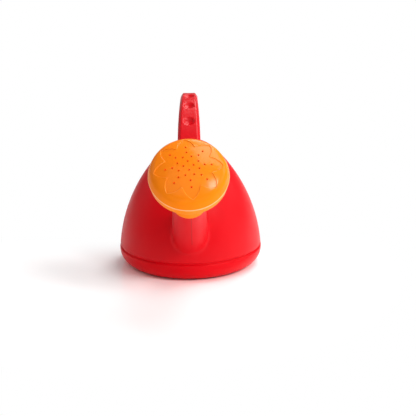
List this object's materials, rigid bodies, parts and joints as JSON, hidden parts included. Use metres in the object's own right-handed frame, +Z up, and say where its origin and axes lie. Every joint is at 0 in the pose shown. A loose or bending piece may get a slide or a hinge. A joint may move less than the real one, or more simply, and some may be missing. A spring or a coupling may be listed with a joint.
{
  "type": "toy watering can",
  "caption": "Bell-shaped toy watering can with a slanting spout, a hollow arched handle with grip dimples and a push-on sprinkling rose with a sunk flower on its dome.",
  "frame": {"origin": "centre of the foot ring, on the ground", "axes": "+Z up, -Y along the spout away from the body, +X to the right as seen from the spout's side"},
  "size_m": [0.1402, 0.2649, 0.1595],
  "materials": {
    "body_red": "satin moulded plastic",
    "base_red": "satin moulded plastic",
    "handle_red": "satin moulded plastic",
    "rose_orange": "glossy moulded plastic"
  },
  "bodies": {
    "can": {"body_shell": "body_red", "base_pan": "base_red", "handle_outer_shell": "handle_red", "handle_inner_shell": "handle_red"},
    "rose": {"rose_funnel": "rose_orange"},
    "rose_cap": {"rose_face": "rose_orange"}
  },
  "joints": [
    {"name": "rose_pull_off", "type": "slide", "parent": "can", "child": "rose", "axis": [0, -0.6871, 0.7266], "range_m": [0, 0.06]},
    {"name": "rose_turn", "type": "hinge", "parent": "rose", "child": "rose_cap", "pos_m": [0, -0.1339, 0.12349], "axis": [0, -0.6871, 0.7266], "continuous": true}
  ]
}
